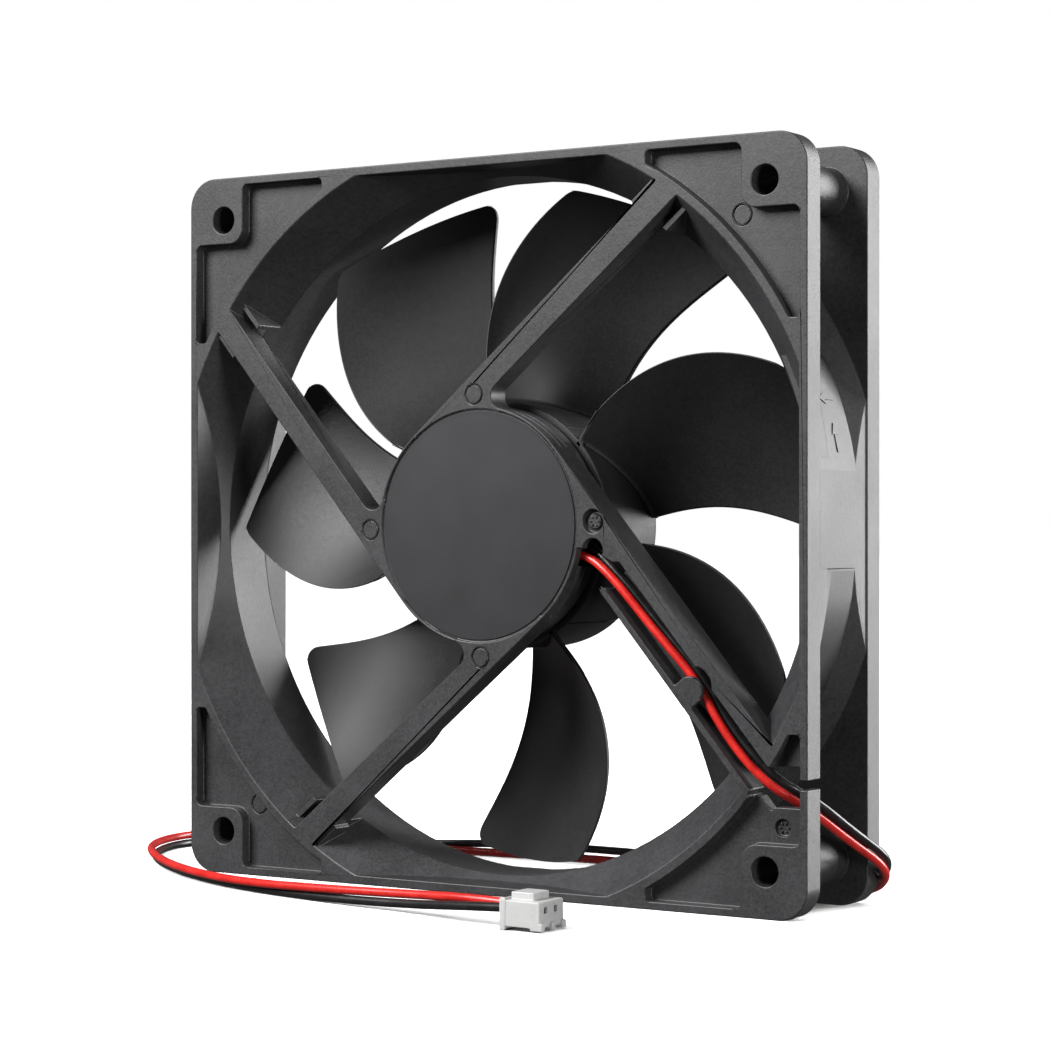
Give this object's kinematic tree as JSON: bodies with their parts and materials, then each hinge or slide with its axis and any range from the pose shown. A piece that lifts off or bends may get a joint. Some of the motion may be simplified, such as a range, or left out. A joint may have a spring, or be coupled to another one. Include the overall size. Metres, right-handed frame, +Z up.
{
  "type": "axial fan",
  "caption": "Square axial case fan with a waisted duct, struts to a round motor base, a bladed rotor on a shaft, and a short two-wire lead ending in a white plug housing.",
  "frame": {"origin": "centre of the standing surface under the square frame, lead left out", "axes": "+Y along the spin axis towards the intake face, -Y is the strut (exhaust) side, +Z up, the fan stands on its bottom edge"},
  "size_m": [0.1462, 0.0784, 0.1195],
  "materials": {
    "frame_plastic": "fine grained charcoal moulding",
    "rotor_plastic": "satin black moulding",
    "label_film": "plain grey film sticker",
    "red_pvc": "glossy insulation",
    "black_pvc": "glossy insulation",
    "white_nylon": "milky nylon",
    "tin": "tin plated",
    "brass": "turned brass",
    "bronze": "sintered bronze, oiled",
    "wear_nylon": "natural nylon",
    "lamination": "stacked electrical steel",
    "copper": "enamelled copper winding",
    "board": "solder mask over glass epoxy",
    "chip": "moulded epoxy package",
    "can": "drawn can",
    "solder": "solder fillet",
    "yoke_steel": "pressed steel cup",
    "magnet": "bonded ferrite",
    "shaft_steel": "ground steel"
  },
  "bodies": {
    "housing": {"frame": "frame_plastic", "label": "label_film", "wire_red": "red_pvc", "wire_black": "black_pvc", "connector_housing": "white_nylon", "contact_red": "tin", "contact_black": "tin", "bearing_tube": "brass", "sleeve_bearing": "bronze", "thrust_pad": "wear_nylon", "oil_seal": "wear_nylon", "stator_core": "lamination", "bobbin_upper": "wear_nylon", "bobbin_lower": "wear_nylon", "circuit_board": "board", "hall_sensor": "chip", "driver_chip": "chip", "capacitor": "can", "resistor_1": "chip", "resistor_2": "chip", "diode": "chip", "solder_red": "solder", "solder_black": "solder", "coil_1": "copper", "coil_2": "copper", "coil_3": "copper", "coil_4": "copper", "terminal_pin_1": "tin", "terminal_pin_2": "tin", "terminal_pin_3": "tin"},
    "rotor": {"impeller": "rotor_plastic", "rotor_yoke": "yoke_steel", "magnet_ring": "magnet", "shaft": "shaft_steel", "shaft_bush": "brass", "retaining_clip": "wear_nylon", "slide_washer": "wear_nylon"}
  },
  "joints": [
    {"name": "rotor_spin", "type": "hinge", "parent": "housing", "child": "rotor", "pos_m": [0, 0, 0.05975], "axis": [0, 1, 0], "continuous": true}
  ]
}
